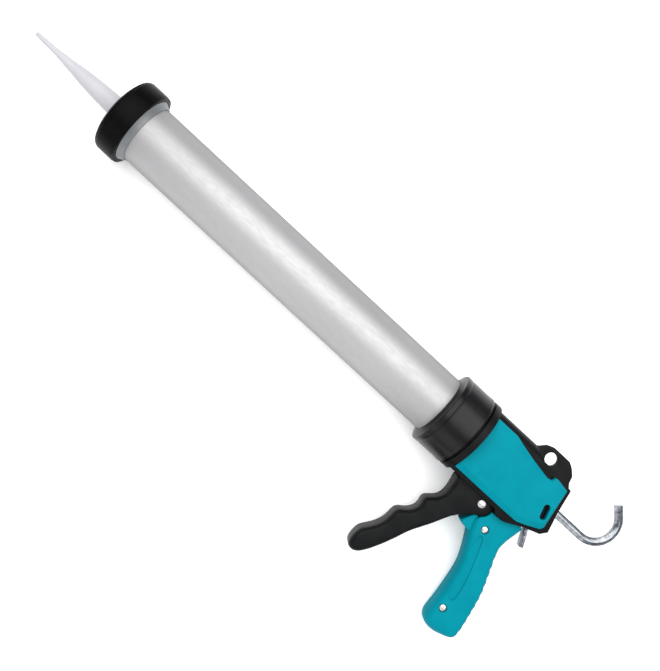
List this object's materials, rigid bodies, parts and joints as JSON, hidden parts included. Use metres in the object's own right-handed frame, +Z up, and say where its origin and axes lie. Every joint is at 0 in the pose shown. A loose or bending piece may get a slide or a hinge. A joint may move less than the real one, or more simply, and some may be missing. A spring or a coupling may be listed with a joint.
{
  "type": "caulking gun",
  "caption": "Manual foil-pack caulking gun with an aluminium barrel, a screw-on nozzle ring, a pistol grip with trigger, and a hooked push rod.",
  "frame": {"origin": "bottom centre of the bounding box, on the surface that the gun lies on", "axes": "+X along the barrel axis from the nozzle towards the hook; +Y away from the handle; +Z up, off the surface that the gun lies on"},
  "size_m": [0.6452, 0.188, 0.07],
  "materials": {
    "aluminium_tube": "satin anodised, drawn lengthways",
    "black_plastic": "semi-matt moulded, fine grain",
    "teal_plastic": "satin moulded",
    "zinc_steel": "bright zinc plated",
    "white_plastic": "satin, slightly translucent",
    "rubber_seal": "matt"
  },
  "bodies": {
    "frame": {"frame_left": "black_plastic", "side_cover_left": "teal_plastic", "grip_left": "teal_plastic", "frame_right": "black_plastic", "side_cover_right": "teal_plastic", "grip_right": "teal_plastic", "pivot_screw": "zinc_steel", "pivot_nut": "zinc_steel", "pivot_sleeve": "zinc_steel", "upper_grip_screw": "zinc_steel", "upper_grip_nut": "zinc_steel", "lower_grip_screw": "zinc_steel", "lower_grip_nut": "zinc_steel", "front_rod_bush": "white_plastic", "rear_rod_bush": "white_plastic", "drive_spring": "zinc_steel", "release_spring": "zinc_steel"},
    "barrel": {"barrel_tube": "aluminium_tube", "barrel_retainer": "zinc_steel"},
    "collar": {"rear_collar": "black_plastic"},
    "nozzle": {"nozzle": "white_plastic", "nozzle_seal": "rubber_seal"},
    "front_ring": {"front_ring": "black_plastic"},
    "piston": {"piston": "white_plastic", "piston_washer": "zinc_steel"},
    "rod": {"push_rod": "zinc_steel", "rod_hook": "zinc_steel", "piston_nut": "zinc_steel"},
    "trigger": {"trigger": "black_plastic"},
    "drive_plate": {"drive_plate": "zinc_steel"},
    "release_plate": {"release_plate": "zinc_steel"}
  },
  "joints": [
    {"name": "trigger_pull", "type": "hinge", "parent": "frame", "child": "trigger", "pos_m": [0.21303, 0.01422, 0.02927], "axis": [0, -0.1572, 0.9876], "range_deg": [0, 25], "stiffness_Nm_per_rad": 1.5, "springref_deg": -8.59},
    {"name": "drive_plate_slide", "type": "slide", "parent": "frame", "child": "drive_plate", "axis": [-1, 0, 0], "range_m": [0, 0.0125], "deforming": ["drive_spring"]},
    {"name": "release_press", "type": "hinge", "parent": "frame", "child": "release_plate", "pos_m": [0.24794, 0.06544, 0.03743], "axis": [0, -0.1572, 0.9876], "range_deg": [-4, 0], "stiffness_Nm_per_rad": 0.8, "springref_deg": 8.59, "deforming": ["release_spring"]},
    {"name": "piston_slide", "type": "slide", "parent": "frame", "child": "piston", "axis": [1, 0, 0], "range_m": [-0.022, 0.33]},
    {"name": "rod_turn", "type": "hinge", "parent": "piston", "child": "rod", "pos_m": [0.16603, 0.05016, 0.035], "axis": [1, 0, 0], "continuous": true},
    {"name": "collar_turn", "type": "hinge", "parent": "barrel", "child": "collar", "pos_m": [0.14603, 0.05016, 0.035], "axis": [-1, 0, 0], "range_deg": [0, 720]},
    {"name": "barrel_slide", "type": "slide", "parent": "frame", "child": "barrel", "axis": [-1, 0, 0], "range_m": [0, 0.0061]},
    {"name": "front_ring_turn", "type": "hinge", "parent": "nozzle", "child": "front_ring", "pos_m": [-0.21397, 0.05016, 0.035], "axis": [-1, 0, 0], "range_deg": [0, 720]},
    {"name": "nozzle_slide", "type": "slide", "parent": "barrel", "child": "nozzle", "axis": [-1, 0, 0], "range_m": [0, 0.0061]}
  ],
  "couplings": [
    {"joint": "drive_plate_slide", "follows": "trigger_pull", "m_per_rad": 0.0275},
    {"joint": "barrel_slide", "follows": "collar_turn", "m_per_rad": 0.00047746},
    {"joint": "nozzle_slide", "follows": "front_ring_turn", "m_per_rad": 0.00047746}
  ]
}
